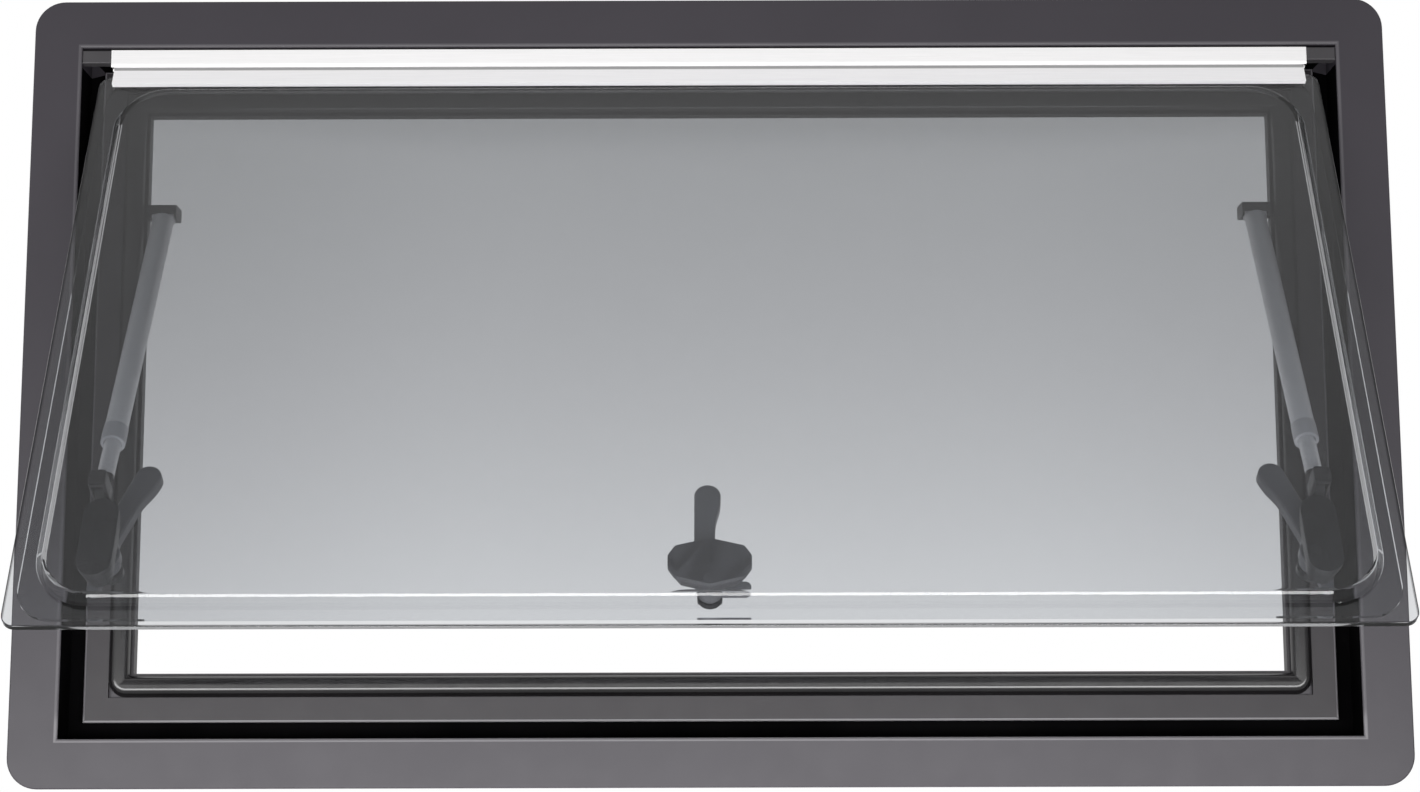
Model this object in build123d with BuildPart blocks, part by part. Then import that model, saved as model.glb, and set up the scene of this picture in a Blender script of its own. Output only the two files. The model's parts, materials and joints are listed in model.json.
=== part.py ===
# Top-hung caravan window: moulded frame, hook hinge, tinted double pane,
# two telescopic stays and three lever catches. All sizes are in millimetres.
# X runs along the window, Z is up and -Y is the outside of the vehicle.
# The origin is on the back of the flange, in the middle of its lower strip.
# The sash is modelled open, as it stands on its stays.
import os
from math import atan2, cos, hypot, radians, sin

from build123d import *

# driving dimensions: the hole in the wall and the moulded frame around it
cutout_width = 900.0
cutout_height = 500.0
cutout_clearance = 2.0
wall_overlap = 25.0
flange_thickness = 10.0
flange_corner_radius = 21.0
flange_edge_radius = 1.0
flange_width = 33.5
lip_radius = 1.6
groove_width = 11.5
groove_floor_y = 20.0
platform_width = 17.0
platform_y = 11.5
platform_edge_radius = 1.5
seal_step_y = 15.0
rim_edge_width = 2.0
rim_back_y = 24.0
rim_rib_width = 6.0
rim_rib_setback = 2.2
collar_back_y = 32.0
collar_corner_radius = 6.0
screw_hole_diameter = 3.0
screw_hole_depth = 14.0
screw_end_inset = 48.0
screw_pitch = 280.0
screw_side_pitch = 220.0

# seal bulb, standing on the step beside the platform
seal_width = 14.5
seal_front_y = 6.0
seal_corner_radius = 13.0
seal_bulb_radius = 6.0

# hook hinge along the top
hinge_y = -4.0
hinge_drop = 11.0
bead_radius = 2.5
bead_clearance = 0.3
socket_wall = 1.8
socket_outer_angle = 54.0
socket_inner_angle = 27.0
rail_plate_thickness = 2.6
rail_top_gap = 1.5
rail_depth = 16.6
rail_foot_depth = 6.0
end_cap_length = 20.5
end_cap_depth = 8.0
end_cap_edge_radius = 1.0
open_angle = 26.6

# sash: outer pane with a raised field, flat inner pane and its top rail
sash_side_gap = 12.5
sash_bottom_gap = 16.0
pane_front = 2.5
outer_thickness = 4.0
bond_gap = 0.3
inner_thickness = 2.7
pane_corner_radius = 9.0
pane_edge_radius = 0.8
lip_side = 15.5
lip_bottom = 14.0
field_top = 21.5
field_height = 7.0
field_taper_angle = 38.0
field_corner_radius = 36.0
field_edge_radius = 2.5
inner_inset = 6.5
inner_corner_radius = 22.0
sash_rail_setback = 2.0
sash_rail_gap = 1.2
sash_rail_web = 3.2
sash_rail_cover = 9.6
sash_rail_front = -1.0
neck_thickness = 2.0

# telescopic stays, one at each side
stay_pivot_y = 20.0
stay_pivot_drop = 104.5
stay_foot_rise = 112.0
stay_foot_depth = 26.0
tube_diameter = 15.0
tube_wall = 1.6
tube_start = 6.0
tube_plug_length = 62.0
tube_reserve = 40.0
tube_collar_length = 12.0
tube_collar_rim = 0.5
tube_collar_end = 2.0
tube_collar_chamfer = 0.4
rod_clearance = 0.4
rod_showing = 42.7
pin_diameter = 4.0
pin_inset = 0.8
pin_clearance = 0.05
foot_pin_diameter = 3.0
open_pivot_clearance = 4.0
flat_length = 10.5
barrel_radius = 4.0
eye_width = 6.0
eye_radius = 8.0
clevis_wall = 1.7
clevis_gap = 0.8
clevis_corner_radius = 2.0
fork_above = 5.0
fork_below = 6.5
fork_reach = 4.0
fork_pad = 3.0
bracket_plate = 2.6
bracket_wall = 1.5
bracket_gap = 0.5
bracket_below = 3.5
bracket_web = 7.5
bracket_corner_radius = 2.0

# lever catches on the inner pane
centre_catch_rise = 48.5
side_catch_inset = 17.0
side_catch_rise = 67.5
centre_base_width = 52.0
centre_base_height = 33.0
centre_shoulder_width = 43.0
centre_shoulder_height = 22.0
centre_corner_width = 8.0
base_corner_radius = 4.0
side_base_width = 22.0
side_base_height = 56.0
base_step = 4.0
base_height = 20.5
base_taper_angle = 20.0
side_taper_angle = 10.0
base_chamfer = 1.0
axle_radius = 4.0
axle_clearance = 0.05
axle_end_gap = 0.5
lever_gap = 0.3
lever_thickness = 9.0
lever_length = 61.5
lever_tip_radius = 8.4
lever_tip_offset = 1.4
lever_waist_width = 13.2
lever_waist_drop = 26.0
lever_neck_radius = 6.0
lever_chamfer = 1.0
side_lever_angle = 20.5
tongue_gap = 1.7
tongue_thickness = 4.0
tongue_width = 8.0
tongue_overlap = 6.5
button_radius = 8.0
button_neck_radius = 6.0
button_neck_length = 4.0
button_height = 11.0
button_chamfer = 1.2

# sizes that follow from the ones above
frame_width = cutout_width + 2 * wall_overlap
frame_height = cutout_height + 2 * wall_overlap
collar_width = cutout_width - 2 * cutout_clearance
collar_height = cutout_height - 2 * cutout_clearance
strip_width = wall_overlap + cutout_clearance
centre_z = frame_height / 2 - strip_width / 2
recess_width = frame_width - 2 * flange_width
recess_height = frame_height - 2 * flange_width
platform_margin = flange_width + groove_width
seal_margin = platform_margin + platform_width
opening_margin = seal_margin + seal_width + rim_edge_width
opening_width = frame_width - 2 * opening_margin
opening_height = frame_height - 2 * opening_margin
hinge_height = recess_height / 2 - hinge_drop
hinge_z = centre_z + hinge_height
swing = radians(open_angle)
socket_radius = bead_radius + bead_clearance + socket_wall
rail_half_length = recess_width / 2 - end_cap_length
sash_rail_half_length = rail_half_length - sash_rail_setback
sash_half_width = recess_width / 2 - sash_side_gap
sash_bottom = hinge_height + recess_height / 2 - sash_bottom_gap
sash_rail_top = socket_radius + sash_rail_gap
pane_top = sash_rail_top + sash_rail_web
sash_rail_bottom = pane_top + sash_rail_cover
pane_back = pane_front + outer_thickness + bond_gap + inner_thickness
pivot_z = hinge_z - stay_pivot_drop
stay_foot_along = sash_bottom - stay_foot_rise
bracket_slot = tube_diameter + 2 * bracket_gap
bracket_width = bracket_plate + bracket_slot + bracket_wall
bracket_x = opening_width / 2 - bracket_width / 2
stay_x = opening_width / 2 - bracket_plate - bracket_slot / 2
rod_diameter = tube_diameter - 2 * (tube_wall + rod_clearance)
centre_catch_along = sash_bottom - centre_catch_rise
side_catch_along = sash_bottom - side_catch_rise
side_catch_x = opening_width / 2 - side_catch_inset
lever_hub_radius = lever_tip_radius + lever_tip_offset

# directions of the open sash: along its face, and through it to the inside
ALONG = Vector(0, -sin(swing), -cos(swing))
INWARD = Vector(0, cos(swing), -sin(swing))
HINGE = Vector(0, hinge_y, hinge_z)


def wall_plane(y):
    # a plane parallel to the wall, looking outwards, centred on the window
    return Plane(origin=(0, y, centre_z), x_dir=(1, 0, 0), z_dir=(0, -1, 0))


def sash_plane(depth):
    # a plane parallel to the open sash; local y runs up towards the hinge
    return Plane(origin=HINGE + INWARD * depth, x_dir=(1, 0, 0), z_dir=-INWARD)


def inner_plane(depth):
    # the same plane looking to the inside; local y runs down along the sash
    return Plane(origin=HINGE + INWARD * depth, x_dir=(1, 0, 0), z_dir=INWARD)


def sash_point(x, along, depth):
    return HINGE + ALONG * along + INWARD * depth + Vector(x, 0, 0)


def ring(plane, outer, outer_radius, inner):
    # a rectangular ring around the window, as a sketch
    with BuildSketch(plane) as outline:
        if outer_radius > 0:
            RectangleRounded(outer[0], outer[1], outer_radius)
        else:
            Rectangle(outer[0], outer[1])
        Rectangle(inner[0], inner[1], mode=Mode.SUBTRACT)
    return outline.sketch


def margin(offset):
    return frame_width - 2 * offset, frame_height - 2 * offset


os.makedirs("parts", exist_ok=True)

# moulded frame: flange, collar, drain groove, platform, seal step and the rib for the catches
with BuildPart() as outer_frame:
    recess = (recess_width, recess_height)
    opening = (opening_width, opening_height)
    flange = ring(wall_plane(0), margin(0), flange_corner_radius, recess)
    extrude(flange, amount=flange_thickness)
    front = outer_frame.faces().sort_by(Axis.Y)[0]
    fillet(front.outer_wire().edges(), flange_edge_radius)
    front = outer_frame.faces().sort_by(Axis.Y)[0]
    fillet(front.inner_wires()[0].edges(), lip_radius)
    collar_size = (collar_width, collar_height)
    collar = ring(wall_plane(collar_back_y), collar_size, collar_corner_radius, recess)
    extrude(collar, amount=collar_back_y)
    floor = ring(wall_plane(rim_back_y), recess, 0, opening)
    extrude(floor, amount=rim_back_y - groove_floor_y)
    rib_margin = opening_margin - rim_rib_setback
    rib = ring(wall_plane(collar_back_y), margin(rib_margin - rim_rib_width), 0, margin(rib_margin))
    extrude(rib, amount=collar_back_y - rim_back_y)
    rim = ring(wall_plane(groove_floor_y), margin(platform_margin), 0, opening)
    extrude(rim, amount=groove_floor_y - seal_step_y)
    platform = ring(wall_plane(seal_step_y), margin(platform_margin), 0, margin(seal_margin))
    extrude(platform, amount=seal_step_y - platform_y)
    top = outer_frame.faces().filter_by(lambda f: abs(f.center().Y - platform_y) < 0.01)[0]
    fillet(top.outer_wire().edges(), platform_edge_radius)
    screw_x = (collar_width + recess_width) / 4
    screw_z = (collar_height + recess_height) / 4
    screw_span = collar_width - 2 * screw_end_inset
    with BuildSketch(wall_plane(collar_back_y)):
        with GridLocations(screw_span, 2 * screw_z, 2, 2):
            Circle(screw_hole_diameter / 2)
        with GridLocations(screw_pitch, 2 * screw_z, 2, 2):
            Circle(screw_hole_diameter / 2)
        with GridLocations(2 * screw_x, screw_side_pitch, 2, 2):
            Circle(screw_hole_diameter / 2)
    extrude(amount=screw_hole_depth, mode=Mode.SUBTRACT)
outer_frame.part.label = "outer_frame"
export_step(outer_frame.part, "parts/outer_frame.step")

# rubber seal: a bulb that runs around the opening
with BuildPart() as frame_seal:
    seal_size = margin(seal_margin)
    seal_hole = margin(seal_margin + seal_width)
    bulb = ring(wall_plane(seal_step_y), seal_size, seal_corner_radius, seal_hole)
    extrude(bulb, amount=seal_step_y - seal_front_y)
    front = frame_seal.faces().sort_by(Axis.Y)[0]
    fillet(front.edges(), seal_bulb_radius)
frame_seal.part.label = "frame_seal"
export_step(frame_seal.part, "parts/frame_seal.step")

# fixed hinge rail: a face plate that ends below in the socket of the hook
with BuildPart() as hinge_rail:
    face_y = -socket_radius
    top = hinge_drop
    with BuildSketch(Plane(origin=HINGE, x_dir=(0, 1, 0), z_dir=(1, 0, 0))):
        Circle(socket_radius)
        with BuildLine():
            Polyline(
                (face_y, 0),
                (face_y, top - rail_top_gap),
                (face_y + rail_depth - rail_foot_depth, top - rail_top_gap),
                (face_y + rail_depth - rail_foot_depth, top),
                (face_y + rail_depth, top),
                (face_y + rail_depth, top - rail_top_gap - rail_plate_thickness),
                (face_y + rail_plate_thickness, top - rail_top_gap - rail_plate_thickness),
                (face_y + rail_plate_thickness, 0),
                close=True,
            )
        make_face()
        Circle(bead_radius + bead_clearance, mode=Mode.SUBTRACT)
        reach = 2 * socket_radius
        outer_turn = radians(socket_outer_angle)
        inner_turn = radians(socket_inner_angle)
        with BuildLine():
            Polyline(
                (0, 0),
                (-reach * sin(outer_turn), -reach * cos(outer_turn)),
                (0, -2 * reach),
                (reach * sin(inner_turn), -reach * cos(inner_turn)),
                close=True,
            )
        make_face(mode=Mode.SUBTRACT)
    extrude(amount=rail_half_length, both=True)
hinge_rail.part.label = "hinge_rail"
export_step(hinge_rail.part, "parts/hinge_rail.step")


def end_cap(side):
    # plastic block between the end of the hinge rail and the recess wall
    inner = rail_half_length
    outer = recess_width / 2
    low = hinge_height
    high = recess_height / 2 - rail_top_gap
    with BuildPart() as cap:
        with BuildSketch(wall_plane(hinge_y - socket_radius + end_cap_depth)):
            with Locations((side * (inner + outer) / 2, (low + high) / 2)):
                Rectangle(outer - inner, high - low)
        extrude(amount=end_cap_depth)
        front = cap.faces().sort_by(Axis.Y)[0]
        fillet(front.edges(), end_cap_edge_radius)
    return cap


hinge_end_cap_left = end_cap(-1)
hinge_end_cap_left.part.label = "hinge_end_cap_left"
export_step(hinge_end_cap_left.part, "parts/hinge_end_cap_left.step")
hinge_end_cap_right = end_cap(1)
hinge_end_cap_right.part.label = "hinge_end_cap_right"
export_step(hinge_end_cap_right.part, "parts/hinge_end_cap_right.step")

# outer pane: flat lip all round and a raised, tapered field in the middle
field_half = sash_half_width - lip_side
field_low = sash_bottom - lip_bottom
field_mid = (field_top + field_low) / 2
with BuildPart() as outer_pane:
    with BuildSketch(sash_plane(pane_front + outer_thickness)):
        with Locations((0, -(pane_top + sash_bottom) / 2)):
            RectangleRounded(2 * sash_half_width, sash_bottom - pane_top, pane_corner_radius)
    extrude(amount=outer_thickness)
    face = outer_pane.faces().sort_by(Axis((0, 0, 0), tuple(INWARD)))[0]
    fillet(face.edges(), pane_edge_radius)
    with BuildSketch(sash_plane(pane_front)):
        with Locations((0, -field_mid)):
            RectangleRounded(2 * field_half, field_low - field_top, field_corner_radius)
    extrude(amount=field_height, taper=field_taper_angle)
    face = outer_pane.faces().sort_by(Axis((0, 0, 0), tuple(INWARD)))[0]
    fillet(face.edges(), field_edge_radius)
    with BuildSketch(sash_plane(pane_front + outer_thickness)):
        with Locations((0, -field_mid)):
            RectangleRounded(
                2 * field_half - outer_thickness,
                field_low - field_top - outer_thickness,
                field_corner_radius - outer_thickness / 2,
            )
    extrude(amount=field_height, taper=field_taper_angle, mode=Mode.SUBTRACT)
outer_pane.part.label = "outer_pane"
export_step(outer_pane.part, "parts/outer_pane.step")

# inner pane: flat, bonded to the lip of the outer one
with BuildPart() as inner_pane:
    with BuildSketch(sash_plane(pane_back)):
        with Locations((0, -(pane_top + sash_bottom - inner_inset) / 2)):
            RectangleRounded(
                2 * (sash_half_width - inner_inset),
                sash_bottom - inner_inset - pane_top,
                inner_corner_radius,
            )
    extrude(amount=inner_thickness)
inner_pane.part.label = "inner_pane"
export_step(inner_pane.part, "parts/inner_pane.step")

# sash rail: caps the top edge of both panes, with the bead that hangs in the socket
with BuildPart() as sash_rail:
    with BuildSketch(Plane(origin=HINGE, x_dir=INWARD, z_dir=(1, 0, 0))):
        Circle(bead_radius)
        with BuildLine():
            Polyline(
                (sash_rail_front, 0),
                (sash_rail_front + neck_thickness, 0),
                (sash_rail_front + neck_thickness, -sash_rail_top),
                (pane_back, -sash_rail_top),
                (pane_back, -pane_top),
                (pane_front, -pane_top),
                (pane_front, -sash_rail_bottom),
                (sash_rail_front, -sash_rail_bottom),
                close=True,
            )
        make_face()
    extrude(amount=sash_rail_half_length, both=True)
sash_rail.part.label = "sash_rail"
export_step(sash_rail.part, "parts/sash_rail.step")


# the stay runs from its pivot on the frame to its foot on the open sash
foot_at = sash_point(0, stay_foot_along, stay_foot_depth)
stay_run_y = foot_at.Y - stay_pivot_y
stay_run_z = foot_at.Z - pivot_z
stay_length = hypot(stay_run_y, stay_run_z)
tube_length = stay_length - rod_showing
rod_inside = tube_length - tube_plug_length - tube_reserve
stay_angle = atan2(-stay_run_y, -stay_run_z)
STAY = Vector(0, -sin(stay_angle), -cos(stay_angle))


def stay_plane(side, distance):
    # a plane across the stay at a distance from its pivot, looking down it
    start = Vector(side * stay_x, stay_pivot_y, pivot_z)
    return Plane(origin=start + STAY * distance, x_dir=(1, 0, 0), z_dir=STAY)


def pin_plane(x, y, z):
    return Plane(origin=(x, y, z), x_dir=(0, 1, 0), z_dir=(1, 0, 0))


def stay_bracket(side):
    # hooded fork on the side of the opening; its two cheeks carry the pivot pin
    slot = barrel_radius + bracket_gap
    hood = slot + bracket_wall
    back = slot + bracket_web
    reach = 4 * hood
    with BuildPart() as bracket:
        with BuildSketch(pin_plane(side * bracket_x, stay_pivot_y, pivot_z)) as cheek:
            with Locations(((back - hood) / 2, (hood - bracket_below) / 2)):
                Rectangle(hood + back, hood + bracket_below)
            fillet(cheek.vertices().group_by(Axis.Y)[0], bracket_corner_radius)
        extrude(amount=bracket_width / 2, both=True)
        with BuildSketch(pin_plane(side * stay_x, stay_pivot_y, pivot_z)):
            Circle(slot)
            with BuildLine():
                Polyline(
                    (-slot * cos(stay_angle), slot * sin(stay_angle)),
                    (-slot * cos(stay_angle) - reach * sin(stay_angle),
                     slot * sin(stay_angle) - reach * cos(stay_angle)),
                    (slot, -reach),
                    (slot, 0),
                    close=True,
                )
            make_face()
        extrude(amount=bracket_slot / 2, both=True, mode=Mode.SUBTRACT)
        with BuildSketch(pin_plane(side * bracket_x, stay_pivot_y, pivot_z)):
            Circle(pin_diameter / 2)
        extrude(amount=bracket_width / 2 - pin_inset, both=True, mode=Mode.SUBTRACT)
    return bracket


def stay_pin(side):
    # pivot pin, pressed into both cheeks of the bracket
    with BuildPart() as pin:
        with BuildSketch(pin_plane(side * bracket_x, stay_pivot_y, pivot_z)):
            Circle(pin_diameter / 2)
        extrude(amount=bracket_width / 2 - pin_inset, both=True)
    return pin


def stay_tube(side):
    # outer tube with the cross barrel that turns on the pivot pin
    with BuildPart() as tube:
        with BuildSketch(stay_plane(side, tube_start)):
            Circle(tube_diameter / 2)
        extrude(amount=tube_length - tube_start)
        with BuildSketch(pin_plane(side * stay_x, stay_pivot_y, pivot_z)):
            Circle(barrel_radius)
        extrude(amount=tube_diameter / 2, both=True)
        with BuildSketch(stay_plane(side, 0)):
            Rectangle(tube_diameter, 2 * barrel_radius)
        extrude(amount=tube_start)
        with BuildSketch(pin_plane(side * stay_x, stay_pivot_y, pivot_z)):
            Circle(pin_diameter / 2 + pin_clearance)
        extrude(amount=tube_diameter, both=True, mode=Mode.SUBTRACT)
        with BuildSketch(stay_plane(side, tube_length)):
            Circle(rod_diameter / 2 + rod_clearance)
        extrude(amount=tube_plug_length - tube_length, mode=Mode.SUBTRACT)
    return tube


def stay_collar(side):
    # clamping collar over the open end of the tube
    with BuildPart() as collar:
        with BuildSketch(stay_plane(side, tube_length - tube_collar_length)):
            Circle(tube_diameter / 2 + tube_collar_rim)
        extrude(amount=tube_collar_length + tube_collar_end)
        chamfer(collar.edges().filter_by(GeomType.CIRCLE), tube_collar_chamfer)
        with BuildSketch(stay_plane(side, tube_length)):
            Circle(tube_diameter / 2)
        extrude(amount=-tube_collar_length, mode=Mode.SUBTRACT)
        with BuildSketch(stay_plane(side, tube_length)):
            Circle(rod_diameter / 2 + rod_clearance)
        extrude(amount=tube_collar_end, mode=Mode.SUBTRACT)
    return collar


def stay_rod(side):
    # sliding rod with a flattened end; its eye is wide enough for the open pivot
    with BuildPart() as rod:
        with BuildSketch(stay_plane(side, tube_length - rod_inside)):
            Circle(rod_diameter / 2)
        extrude(amount=stay_length - tube_length + rod_inside)
        with BuildSketch(stay_plane(side, stay_length - flat_length)):
            Rectangle(2 * rod_diameter, 2 * rod_diameter)
            Rectangle(eye_width, 2 * rod_diameter, mode=Mode.SUBTRACT)
        extrude(amount=2 * flat_length, mode=Mode.SUBTRACT)
        with BuildSketch(pin_plane(side * stay_x, foot_at.Y, foot_at.Z)):
            Circle(eye_radius)
        extrude(amount=eye_width / 2, both=True)
        with BuildSketch(pin_plane(side * stay_x, foot_at.Y, foot_at.Z)):
            Circle(foot_pin_diameter / 2 + open_pivot_clearance)
        extrude(amount=eye_width, both=True, mode=Mode.SUBTRACT)
    return rod


def stay_foot(side):
    # fork on the inner pane that holds the lower end of the stay
    half = eye_width / 2 + clevis_gap
    with BuildPart() as foot:
        with BuildSketch(sash_plane(stay_foot_depth + fork_reach)):
            with Locations((side * stay_x, -stay_foot_along + (fork_above - fork_below) / 2)):
                RectangleRounded(
                    2 * half + 2 * clevis_wall, fork_above + fork_below, clevis_corner_radius
                )
        extrude(amount=stay_foot_depth + fork_reach - pane_back)
        with BuildSketch(sash_plane(stay_foot_depth + 2 * fork_reach)):
            with Locations((side * stay_x, -stay_foot_along)):
                Rectangle(2 * half, 4 * fork_above)
        extrude(
            amount=stay_foot_depth + 2 * fork_reach - pane_back - fork_pad,
            mode=Mode.SUBTRACT,
        )
        with BuildSketch(pin_plane(side * stay_x, foot_at.Y, foot_at.Z)):
            Circle(foot_pin_diameter / 2)
        extrude(amount=2 * half, both=True, mode=Mode.SUBTRACT)
    return foot


def foot_pin(side):
    # pin across the fork; the rod's eye hangs on it
    half = eye_width / 2 + clevis_gap + clevis_wall
    with BuildPart() as pin:
        with BuildSketch(pin_plane(side * stay_x, foot_at.Y, foot_at.Z)):
            Circle(foot_pin_diameter / 2)
        extrude(amount=half, both=True)
    return pin


for side, name in ((-1, "left"), (1, "right")):
    for kind, make in (
        ("stay_bracket", stay_bracket),
        ("stay_pin", stay_pin),
        ("stay_tube", stay_tube),
        ("stay_collar", stay_collar),
        ("stay_rod", stay_rod),
        ("stay_foot", stay_foot),
        ("foot_pin", foot_pin),
    ):
        piece = make(side)
        piece.part.label = f"{kind}_{name}"
        export_step(piece.part, f"parts/{kind}_{name}.step")

# depths of the catch pieces, measured inwards from the hinge plane
base_back = pane_back + base_height
lever_front = base_back + lever_gap
lever_back = lever_front + lever_thickness
tongue_front = lever_back + tongue_gap
tongue_back = tongue_front + tongue_thickness


def pad_outline(x, along, depth, name):
    # the centre pad has ten rounded corners, the side pads are oval
    with BuildSketch(inner_plane(depth)) as outline:
        with Locations((x, along)):
            if name == "centre":
                half = centre_base_width / 2
                shoulder = centre_shoulder_width / 2
                rise = centre_shoulder_height / 2
                crest = centre_base_height / 2
                flat = centre_corner_width / 2
                Polygon(
                    (half, -flat), (half, flat), (shoulder, rise), (0, crest),
                    (-shoulder, rise), (-half, flat), (-half, -flat), (-shoulder, -rise),
                    (0, -crest), (shoulder, -rise),
                )
            else:
                SlotOverall(side_base_height, side_base_width, rotation=90)
        if name == "centre":
            fillet(outline.vertices(), base_corner_radius)
    return outline.sketch


def catch_base(x, along, name):
    # pad bonded to the pane, drawn in to the seat and the axle of the lever
    with BuildPart() as base:
        extrude(pad_outline(x, along, pane_back, name), amount=base_step)
        body = pad_outline(x, along, pane_back + base_step, name)
        slope = base_taper_angle if name == "centre" else side_taper_angle
        extrude(body, amount=base_height - base_step, taper=slope)
        back = base.faces().sort_by(Axis((0, 0, 0), tuple(INWARD)))[-1]
        chamfer(back.edges(), base_chamfer)
        with BuildSketch(inner_plane(base_back)):
            with Locations((x, along)):
                Circle(axle_radius)
        extrude(amount=lever_gap + lever_thickness - axle_end_gap)
    return base


def catch_lever(x, along, hand, angle, tongue_angle, tongue_length):
    # handle, hub and tongue in one moulding, turned by an angle from upright
    def turned(depth, turn):
        right = Vector(cos(radians(turn)), 0, 0) + ALONG * sin(radians(turn))
        return Plane(origin=sash_point(x, along, depth), x_dir=right, z_dir=-INWARD)

    tip_x = -hand * lever_tip_offset
    straight_x = tip_x - hand * lever_tip_radius
    bulge_x = tip_x + hand * lever_tip_radius
    waist_x = straight_x + hand * lever_waist_width
    waist_y = lever_length - lever_waist_drop
    bend_y = lever_length - lever_waist_drop / 2
    neck = (waist_x, (lever_hub_radius**2 - waist_x**2) ** 0.5, 0)
    with BuildPart() as lever:
        with BuildSketch(turned(lever_back, angle)) as handle:
            with BuildLine():
                Line((straight_x, 0), (straight_x, lever_length))
                ThreePointArc(
                    (straight_x, lever_length),
                    (tip_x, lever_length + lever_tip_radius),
                    (bulge_x, lever_length),
                )
                Bezier((bulge_x, lever_length), (bulge_x, bend_y), (waist_x, bend_y), (waist_x, waist_y))
                Polyline((waist_x, waist_y), (waist_x, 0), (straight_x, 0))
            make_face()
            Circle(lever_hub_radius)
            fillet(handle.vertices().sort_by_distance(neck)[0], lever_neck_radius)
        extrude(amount=lever_thickness)
        flats = lever.faces().filter_by(Axis((0, 0, 0), tuple(INWARD)))
        chamfer(flats.edges(), lever_chamfer)
        with BuildSketch(turned(tongue_back, angle)):
            Circle(button_radius)
        extrude(amount=tongue_back - lever_back)
        with BuildSketch(turned(tongue_back, angle + tongue_angle)):
            with Locations((0, (tongue_length - tongue_width / 2) / 2)):
                Rectangle(tongue_width, tongue_length - tongue_width / 2)
            with Locations((0, tongue_length - tongue_width / 2)):
                Circle(tongue_width / 2)
        extrude(amount=tongue_thickness)
        with BuildSketch(inner_plane(lever_front)):
            with Locations((x, along)):
                Circle(axle_radius + axle_clearance)
        extrude(amount=lever_thickness, mode=Mode.SUBTRACT)
    return lever


def catch_button(x, along):
    # round release button on a neck, at the inner end of the lever's axle
    with BuildPart() as button:
        with BuildSketch(inner_plane(tongue_back)):
            with Locations((x, along)):
                Circle(button_neck_radius)
        extrude(amount=button_neck_length)
        with BuildSketch(inner_plane(tongue_back + button_neck_length)):
            with Locations((x, along)):
                Circle(button_radius)
        extrude(amount=button_height - button_neck_length)
        rims = button.edges().filter_by(GeomType.CIRCLE)
        chamfer(rims.filter_by(lambda e: abs(e.radius - button_radius) < 0.01), button_chamfer)
    return button


side_reach = opening_width / 2 - side_catch_x + tongue_overlap
centre_reach = hinge_height + opening_height / 2 - centre_catch_along + tongue_overlap
catches = (
    ("left", -side_catch_x, side_catch_along, 1, side_lever_angle, 180.0, side_reach),
    ("centre", 0.0, centre_catch_along, 1, 0.0, 90.0, centre_reach),
    ("right", side_catch_x, side_catch_along, -1, -side_lever_angle, 180.0, side_reach),
)
for name, x, along, hand, angle, tongue_angle, reach in catches:
    base = catch_base(x, along, name)
    base.part.label = f"catch_base_{name}"
    export_step(base.part, f"parts/catch_base_{name}.step")
    lever = catch_lever(x, along, hand, angle, tongue_angle, reach)
    lever.part.label = f"catch_lever_{name}"
    export_step(lever.part, f"parts/catch_lever_{name}.step")
    button = catch_button(x, along)
    button.part.label = f"catch_button_{name}"
    export_step(button.part, f"parts/catch_button_{name}.step")
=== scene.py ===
import json
import math

import bpy
from mathutils import Matrix, Vector


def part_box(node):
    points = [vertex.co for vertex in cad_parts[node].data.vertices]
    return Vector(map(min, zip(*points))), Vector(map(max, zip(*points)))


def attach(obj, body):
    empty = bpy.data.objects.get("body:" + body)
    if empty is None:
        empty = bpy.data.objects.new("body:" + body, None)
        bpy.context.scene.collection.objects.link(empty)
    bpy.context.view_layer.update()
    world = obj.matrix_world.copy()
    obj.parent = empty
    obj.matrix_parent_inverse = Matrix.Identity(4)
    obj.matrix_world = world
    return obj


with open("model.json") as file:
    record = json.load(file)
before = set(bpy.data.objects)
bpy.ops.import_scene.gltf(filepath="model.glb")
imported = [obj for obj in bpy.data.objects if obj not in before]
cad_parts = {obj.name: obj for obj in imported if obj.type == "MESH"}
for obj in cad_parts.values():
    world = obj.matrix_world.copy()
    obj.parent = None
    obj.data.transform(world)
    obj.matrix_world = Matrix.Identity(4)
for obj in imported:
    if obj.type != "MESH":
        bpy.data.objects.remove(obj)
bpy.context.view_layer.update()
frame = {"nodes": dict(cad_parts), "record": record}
nodes = frame["nodes"]

# measures of the window, in metres
frame_low, frame_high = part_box("outer_frame")
middle_z = (frame_low[2] + frame_high[2]) / 2
half_width = (frame_high[0] - frame_low[0]) / 2
half_height = (frame_high[2] - frame_low[2]) / 2
hinge = next(j for j in frame["record"]["behaviour"]["joints"] if j["name"] == "sash_hinge")
hinge_at = Vector(hinge["pos_m"])
open_angle = math.radians(hinge["range_deg"][1])
along_sash = Vector((0, -math.sin(open_angle), -math.cos(open_angle)))
into_van = Vector((0, math.cos(open_angle), -math.sin(open_angle)))
sash_length = 0.456
pane_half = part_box("outer_pane")[1][0]
foot_down, foot_back = 0.344, 0.026
foot_at = hinge_at + foot_down * along_sash + foot_back * into_van

# the frame's profile, as distances inwards from its outline
lip_line = (0.0312, 0.0337)
groove_wall = 0.0337
platform_wall = 0.0447
platform_line = (0.0446, 0.0464)
mitre_line = (0.046, 0.062)
platform_face = (0.0465, 0.062)
seal_shadow = (0.0762, 0.0792)
cap_depth = 0.0475

# depths in the frame, behind the outside of the wall
lip_front, lip_back = -0.0086, -0.0082
head_front = 0.009
platform_edge = 0.0132
groove_floor = 0.0197

# height from the frame's middle where the sill turns into the sides
sill_turn = (-0.232, -0.222)


def link(tree, value, socket):
    """Join a socket to another one, or set its value."""
    if isinstance(value, bpy.types.NodeSocket):
        tree.links.new(value, socket)
    else:
        socket.default_value = value


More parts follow.
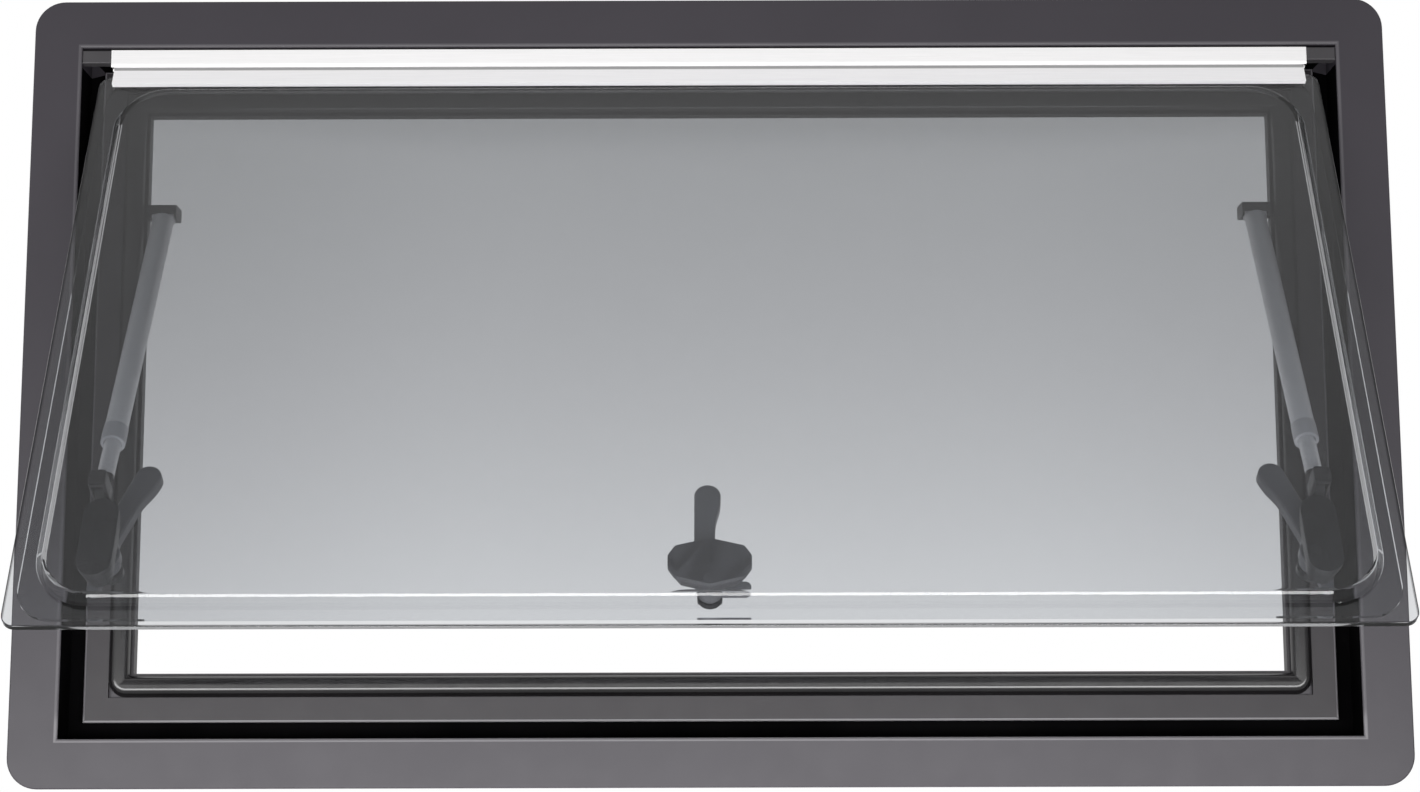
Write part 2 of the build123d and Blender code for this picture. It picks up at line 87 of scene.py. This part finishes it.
def shader_node(tree, kind, inputs=(), **settings):
    made = tree.nodes.new("ShaderNode" + kind)
    for name, value in settings.items():
        setattr(made, name, value)
    for key, value in dict(inputs).items():
        link(tree, value, made.inputs[key])
    return made


def maths(tree, operation, first, second=0.0):
    made = shader_node(tree, "Math", {0: first, 1: second}, operation=operation)
    return made.outputs[0]


def band(tree, value, low, high, bottom=0.0, top=1.0):
    """Smooth step of a value between two limits."""
    made = shader_node(
        tree,
        "MapRange",
        {"Value": value, "From Min": low, "From Max": high, "To Min": bottom, "To Max": top},
        interpolation_type="SMOOTHSTEP",
    )
    return made.outputs["Result"]


def within(tree, value, low, high, soft=0.0003):
    """One between two limits, nought outside them."""
    rising = band(tree, value, low - soft, low + soft)
    falling = band(tree, value, high - soft, high + soft, 1.0, 0.0)
    return maths(tree, "MULTIPLY", rising, falling)


def blend(tree, factor, first, second):
    """Mix of two colours."""
    made = shader_node(tree, "Mix", data_type="RGBA")
    link(tree, factor, made.inputs["Factor"])
    link(tree, first, made.inputs[6])
    link(tree, second, made.inputs[7])
    return made.outputs[2]


def place(tree):
    """Position on the piece itself, which moves with it."""
    return shader_node(tree, "TexCoord").outputs["Object"]


def noise(tree, scale, detail=2.0, stretch=(1, 1, 1)):
    spread = shader_node(tree, "Mapping", {"Vector": place(tree), "Scale": stretch})
    made = shader_node(
        tree, "TexNoise", {"Vector": spread.outputs[0], "Scale": scale, "Detail": detail}
    )
    return made.outputs["Fac"]


def material(name):
    made = bpy.data.materials.new(name)
    made.use_nodes = True
    tree = made.node_tree
    tree.nodes.clear()
    surface = shader_node(tree, "BsdfPrincipled")
    output = shader_node(tree, "OutputMaterial", {"Surface": surface.outputs[0]})
    return made, tree, surface, output


def grain(tree, surface, scale, height, stretch=(1, 1, 1)):
    """Fine texture of the surface, as a bump."""
    bump = shader_node(
        tree,
        "Bump",
        {"Height": noise(tree, scale, 3.0, stretch), "Distance": height, "Strength": 1.0},
    )
    link(tree, bump.outputs[0], surface.inputs["Normal"])


def repaint(tree, surface, share, tone):
    """Lay a second tone over part of the base colour."""
    plain = surface.inputs["Base Color"].links[0].from_socket
    link(tree, blend(tree, share, plain, (*tone, 1)), surface.inputs["Base Color"])


def down_sash(tree):
    """Distance from the hinge line down the open sash."""
    offset = shader_node(
        tree, "VectorMath", {0: place(tree), 1: hinge_at}, operation="SUBTRACT"
    )
    down = shader_node(
        tree, "VectorMath", {0: offset.outputs[0], 1: along_sash}, operation="DOT_PRODUCT"
    )
    return down.outputs["Value"]


def plastic(name, dark, light, rough, grain_size=0.0009, grain_height=0.000012):
    """Moulded plastic: cloudy tone, uneven gloss and a fine grain."""
    uneven = 0.015
    made, tree, surface, _ = material(name)
    cloud = band(tree, noise(tree, 9.0, 4.0), 0.3, 0.7)
    link(tree, blend(tree, cloud, (*dark, 1), (*light, 1)), surface.inputs["Base Color"])
    gloss = band(tree, noise(tree, 60.0, 4.0), 0.25, 0.75, rough - uneven, rough + uneven)
    link(tree, gloss, surface.inputs["Roughness"])
    surface.inputs["Specular IOR Level"].default_value = 0.4
    grain(tree, surface, 1 / grain_size, grain_height)
    return made, tree, surface


def frame_plastic():
    """Textured dark grey moulding, with painted highlights along its edges and painted shade on
    its platform and beside the seal.
    """
    dark, light = (0.037, 0.0325, 0.041), (0.041, 0.036, 0.0452)
    # tones and strengths of the painted highlights and of the painted shade
    painted_highlight_tone, shaded_tone = (0.34, 0.33, 0.345), (0.0075, 0.004, 0.0078)
    lip_highlight_share, side_highlight_share, mitre_share, platform_shade_share = 0.4, 0.4, 0.6, 0.92
    made, tree, surface = plastic("frame_plastic", dark, light, 0.46)
    surface.inputs["Specular IOR Level"].default_value = 0.57
    axes = shader_node(tree, "SeparateXYZ", {0: place(tree)})
    side = maths(tree, "SUBTRACT", half_width, maths(tree, "ABSOLUTE", axes.outputs[0]))
    height = maths(tree, "SUBTRACT", axes.outputs[2], middle_z)
    rise = maths(tree, "SUBTRACT", half_height, maths(tree, "ABSOLUTE", height))
    inset = maths(tree, "MINIMUM", side, rise)

    # painted highlights along the lip and the platform edge, strongest at the sill
    front = band(tree, axes.outputs[1], lip_front, lip_back, lip_highlight_share, 0.0)
    lip = maths(tree, "MULTIPLY", within(tree, inset, *lip_line), front)
    edge = within(tree, inset, *platform_line)
    sill = band(tree, height, *sill_turn, 1.0, side_highlight_share)
    painted_highlight = maths(tree, "MULTIPLY", maths(tree, "ADD", lip, edge), sill)
    repaint(tree, surface, painted_highlight, painted_highlight_tone)

    # painted shade on the recessed platform, dark joint lines in its corners and a painted
    # shadow beside the seal
    off_mitre = maths(tree, "ABSOLUTE", maths(tree, "SUBTRACT", side, rise))
    crack = band(tree, off_mitre, 0.0002, 0.0007, mitre_share, 0.0)
    mitre = maths(tree, "MULTIPLY", crack, within(tree, inset, *mitre_line))
    lines = maths(tree, "MAXIMUM", mitre, within(tree, inset, *seal_shadow))
    platform = maths(tree, "MULTIPLY", within(tree, inset, *platform_face), platform_shade_share)
    repaint(tree, surface, maths(tree, "MAXIMUM", lines, platform), shaded_tone)
    return made


def rubber():
    """Smooth black rubber of the seal."""
    dark, light = (0.009, 0.0085, 0.009), (0.014, 0.013, 0.014)
    made, _, surface = plastic("seal_rubber", dark, light, 0.2, 0.004, 0.000006)
    surface.inputs["Specular IOR Level"].default_value = 0.75
    return made


def groove_shade_black():
    """Dull black of the painted shade deep in the drain groove."""
    dark, light = (0.002, 0.0019, 0.0021), (0.004, 0.0038, 0.0042)
    made, _, surface = plastic("groove_shade_strips", dark, light, 0.9)
    surface.inputs["Specular IOR Level"].default_value = 0.0
    return made


def metal(name, tone, rough, metallic, streak=(1, 60, 60)):
    """Drawn metal with faint lines along its length."""
    line_depth = 0.000003
    made, tree, surface, _ = material(name)
    lines = band(tree, noise(tree, 25.0, 4.0, streak), 0.25, 0.75)
    darker = tuple(c * 0.95 for c in tone)
    link(tree, blend(tree, lines, (*darker, 1), (*tone, 1)), surface.inputs["Base Color"])
    gloss = band(tree, noise(tree, 40.0, 3.0, streak), 0.25, 0.75, rough - 0.05, rough + 0.06)
    link(tree, gloss, surface.inputs["Roughness"])
    surface.inputs["Metallic"].default_value = metallic
    grain(tree, surface, 40.0, line_depth, streak)
    return made, tree, surface


def sash_rail_metal():
    """Rail of the sash, with a grey line of painted shade under the hinge."""
    painted_shade_line, painted_shade_share = (0.0036, 0.0063), 0.8
    made, tree, surface = metal("sash_rail_metal", (0.98, 0.97, 0.98), 0.32, 0.0)
    # painted shade of the gap under the hinge rail
    painted_shade = maths(tree, "MULTIPLY", within(tree, down_sash(tree), *painted_shade_line), painted_shade_share)
    repaint(tree, surface, painted_shade, (0.25, 0.25, 0.25))
    return made


def stay_rod_metal():
    """Bright rod with a dark plastic eye at its foot."""
    eye_reach = (0.0125, 0.013)
    made, tree, surface = metal("stay_rod_metal", (0.88, 0.88, 0.89), 0.3, 0.2, (60, 10, 10))
    flat = shader_node(tree, "VectorMath", {0: place(tree), 1: (0, 1, 1)}, operation="MULTIPLY")
    gap = shader_node(
        tree, "VectorMath", {0: flat.outputs[0], 1: foot_at}, operation="DISTANCE"
    )
    eye = band(tree, gap.outputs["Value"], *eye_reach, 1.0, 0.0)
    repaint(tree, surface, eye, (0.05, 0.048, 0.051))
    return made


def acrylic(name, bend):
    """Smoke-tinted sheet, darker towards the hinge and at its cut edge."""
    at_hinge, at_foot = (0.53, 0.538, 0.55, 1), (0.772, 0.783, 0.799, 1)
    # tone of the painted shade towards the sides and head, and of the cut edge
    edge_shade_tone, cut_edge = (0.2, 0.2, 0.21, 1), (0.1, 0.1, 0.105, 1)
    rim_in, rim_out, rim_share = 0.0014, 0.0006, 0.85
    made, tree, surface, output = material(name)
    down = down_sash(tree)
    share = maths(tree, "DIVIDE", down, sash_length)
    across = shader_node(tree, "SeparateXYZ", {0: place(tree)}).outputs[0]

    # tint that clears down the sash, with a faint haze
    curve = maths(tree, "POWER", maths(tree, "MAXIMUM", share, 0.0), 1.75)
    haze = band(tree, noise(tree, 5.0, 3.0), 0.2, 0.8, -0.008, 0.008)
    clear = blend(tree, maths(tree, "ADD", curve, haze), at_hinge, at_foot)

    # painted shade: darker towards the sides and the head
    right = band(tree, across, 0.18, 0.4, 0.0, 0.06)
    left = band(tree, across, -0.4, -0.12, 0.11, 0.0)
    head_wide = band(tree, share, 0.09, 0.26, 0.05, 0.0)
    head_close = band(tree, share, 0.11, 0.19, 0.1, 0.0)
    sides = maths(tree, "ADD", right, left)
    head = maths(tree, "ADD", head_wide, head_close)
    shaded = blend(tree, maths(tree, "MAXIMUM", sides, head), clear, edge_shade_tone)

    # dark line of the cut edge
    off_middle = maths(tree, "ABSOLUTE", across)
    rim_sides = band(tree, off_middle, pane_half - rim_in, pane_half - rim_out, 0.0, rim_share)
    rim_foot = band(tree, down, sash_length - rim_in, sash_length - rim_out, 0.0, rim_share)
    tint = blend(tree, maths(tree, "MAXIMUM", rim_sides, rim_foot), shaded, cut_edge)
    link(tree, tint, surface.inputs["Base Color"])
    surface.inputs["Transmission Weight"].default_value = 1.0
    surface.inputs["IOR"].default_value = bend
    surface.inputs["Roughness"].default_value = 0.0

    # light passes straight through on its way to what lies behind
    one_face = shader_node(tree, "Gamma", {"Color": tint, "Gamma": 0.5})
    unbent = shader_node(tree, "BsdfTransparent", {"Color": one_face.outputs[0]})
    rays = shader_node(tree, "LightPath")
    mixed = shader_node(
        tree,
        "MixShader",
        {0: rays.outputs["Is Shadow Ray"], 1: surface.outputs[0], 2: unbent.outputs[0]},
    )
    link(tree, mixed.outputs[0], output.inputs["Surface"])
    return made


dark_cap = plastic("cap_plastic", (0.055, 0.052, 0.056), (0.07, 0.067, 0.071), 0.42)[0]
catch = plastic("catch_plastic", (0.07, 0.07, 0.078), (0.085, 0.085, 0.094), 0.4)[0]
side_pad = plastic("side_pad_plastic", (0.022, 0.022, 0.025), (0.03, 0.03, 0.034), 0.45)[0]
lever = plastic("lever_plastic", (0.13, 0.13, 0.14), (0.15, 0.15, 0.161), 0.4)[0]
button = plastic("button_plastic", (0.02, 0.02, 0.022), (0.03, 0.03, 0.033), 0.38)[0]
collar = plastic("stay_collar_plastic", (0.62, 0.62, 0.64), (0.7, 0.7, 0.72), 0.42)[0]

# finish of each piece, by the start of its name
finishes = {
    "outer_frame": frame_plastic(),
    "frame_seal": rubber(),
    "hinge_rail": metal("rail_metal", (0.985, 0.975, 0.975), 0.34, 0.15)[0],
    "sash_rail": sash_rail_metal(),
    "hinge_end_cap": dark_cap,
    "stay_bracket": dark_cap,
    "stay_foot": dark_cap,
    "outer_pane": acrylic("tinted_acrylic", 1.49),
    "inner_pane": acrylic("tinted_acrylic_inner", 1.15),
    "stay_tube": metal("stay_tube_metal", (0.98, 0.98, 0.99), 0.34, 0.05, (60, 10, 10))[0],
    "stay_collar": collar,
    "stay_rod": stay_rod_metal(),
    "stay_pin": metal("pin_steel", (0.5, 0.5, 0.5), 0.3, 1.0)[0],
    "foot_pin": metal("foot_pin_steel", (0.2, 0.2, 0.2), 0.35, 1.0)[0],
    "catch_base_centre": catch,
    "catch_base": side_pad,
    "catch_lever": lever,
    "catch_button": button,
}
for name, piece in nodes.items():
    kind = next(k for k in finishes if name.startswith(k))
    piece.data.materials.clear()
    piece.data.materials.append(finishes[kind])


def groove_shade_strips():
    """Dark strips of painted shade down the drain groove: recess wall, floor and platform wall.
    """
    cap_low = half_height - cap_depth
    head, sill = (False, 1, head_front), (False, -1, lip_back)
    right, left = (True, 1, lip_back), (True, -1, lip_back)
    corners, faces = [], []
    for upright, sign, front in (head, sill, right, left):
        profile = (
            (groove_wall, front),
            (groove_wall, groove_floor),
            (platform_wall, groove_floor),
            (platform_wall, platform_edge),
        )
        first, step = len(corners), len(profile)
        for end in (-1, 1):
            for inset, y in profile:
                x, z = half_width - inset, half_height - inset
                if upright:
                    reach = min(end * z, cap_low) if inset == groove_wall else end * z
                    corners.append((sign * x, y, middle_z + reach))
                else:
                    corners.append((end * x, y, middle_z + sign * z))
        for k in range(first, first + step - 1):
            faces.append((k, k + 1, k + 1 + step, k + step))
    mesh = bpy.data.meshes.new("groove_shade_strips")
    mesh.from_pydata(corners, [], faces)
    mesh.materials.append(groove_shade_black())
    made = bpy.data.objects.new("groove_shade_strips", mesh)
    bpy.context.collection.objects.link(made)
    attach(made, "frame")


# dark strips of painted shade in the deep drain groove
groove_shade_strips()

# camera, from the fit of the window's edges in the photograph
photo_width, focal_length = 1420, 2537.5
turn_angle, pitch_angle, roll_angle = 0.000995, 0.155447, -0.00262
sensor_width = 36.0
camera_at = Matrix.Translation((0.00198, -1.73797, middle_z - 0.27895))
turn = Matrix.Rotation(turn_angle, 4, "Z")
pitch = Matrix.Rotation(math.pi / 2 + pitch_angle, 4, "X")
roll = Matrix.Rotation(roll_angle, 4, "Z")
camera = bpy.data.objects.new("camera", bpy.data.cameras.new("camera"))
camera.data.sensor_fit = "HORIZONTAL"
camera.data.sensor_width = sensor_width
camera.data.lens = focal_length / photo_width * sensor_width
camera.matrix_world = camera_at @ turn @ pitch @ roll
bpy.context.collection.objects.link(camera)
bpy.context.scene.camera = camera


def softbox(name, at, towards, size, power):
    """Flat soft lamp that isn't seen itself."""
    lamp = bpy.data.lights.new(name, "AREA")
    lamp.shape = "RECTANGLE"
    lamp.size, lamp.size_y = size
    lamp.energy = power
    holder = bpy.data.objects.new(name, lamp)
    look = Vector(towards) - Vector(at)
    aim = look.to_track_quat("-Z", "Y").to_matrix().to_4x4()
    holder.matrix_world = Matrix.Translation(at) @ aim
    holder.visible_camera = False
    holder.visible_transmission = False
    bpy.context.collection.objects.link(holder)
    return holder


low_front = softbox("low_front", (-0.1, -1.25, -0.16), (0, 0, 0.06), (2.4, 0.32), 20.5)
softbox("under_fill", (0, -0.1, -0.3), (0, -0.1, 0), (0.95, 0.12), 2)
edge_strip = softbox(
    "edge_strip", (-0.1, -0.5855, -0.29), (-0.1, -0.5855, 0), (1.7, 0.022), 1.3
)

# plain pale floor
floor_size, floor_height = 12, -0.32
bpy.ops.mesh.primitive_plane_add(size=floor_size, location=(0, 0, floor_height))
floor = bpy.context.object
floor.name = "floor"
pale, _, surface, _ = material("floor_pale")
surface.inputs["Base Color"].default_value = (0.86, 0.86, 0.86, 1)
surface.inputs["Roughness"].default_value = 0.7
floor.data.materials.append(pale)

# the front lamp leaves no glare on the panes and no hot patch on the floor
unlit = bpy.data.collections.new("without_glare")
for shaded in (nodes["outer_pane"], nodes["inner_pane"], floor):
    unlit.objects.link(shaded)
for held in unlit.collection_objects:
    held.light_linking.link_state = "EXCLUDE"
low_front.light_linking.receiver_collection = unlit

# the strip only draws the bright lines along the edges of the pane
lined = bpy.data.collections.new("with_bright_edges")
lined.objects.link(nodes["outer_pane"])
edge_strip.light_linking.receiver_collection = lined


def studio():
    """Grey room that lights the window, white where it is looked at."""
    low_tone, high_tone = (0.58, 0.58, 0.58, 1), (0.36, 0.36, 0.365, 1)
    right_tone, zenith_tone = (0.25, 0.25, 0.25, 1), (0.95, 0.95, 0.955, 1)
    world = bpy.data.worlds.new("studio")
    bpy.context.scene.world = world
    world.use_nodes = True
    tree = world.node_tree
    tree.nodes.clear()
    outlook = shader_node(tree, "TexCoord").outputs["Generated"]
    across, back, up = shader_node(tree, "SeparateXYZ", {0: outlook}).outputs
    low_sky = blend(tree, band(tree, up, 0.05, 0.65), low_tone, high_tone)
    side_sky = blend(tree, band(tree, across, 0.0, 0.55), low_sky, right_tone)
    sky = blend(tree, band(tree, up, 0.82, 0.95), side_sky, zenith_tone)
    room = shader_node(tree, "Background", {"Color": sky, "Strength": 1.0})
    white = shader_node(tree, "Background", {"Color": (1, 1, 1, 1), "Strength": 1.0})
    rays = shader_node(tree, "LightPath").outputs
    mirrored = maths(tree, "MULTIPLY", rays["Is Glossy Ray"], band(tree, back, 0.0, 0.2))
    looked_at = maths(tree, "MAXIMUM", rays["Is Camera Ray"], rays["Is Transmission Ray"])
    seen = maths(tree, "MAXIMUM", looked_at, mirrored)
    mixed = shader_node(tree, "MixShader", {0: seen, 1: room.outputs[0], 2: white.outputs[0]})
    shader_node(tree, "OutputWorld", {"Surface": mixed.outputs[0]})


studio()
bpy.context.scene.view_settings.view_transform = "Standard"
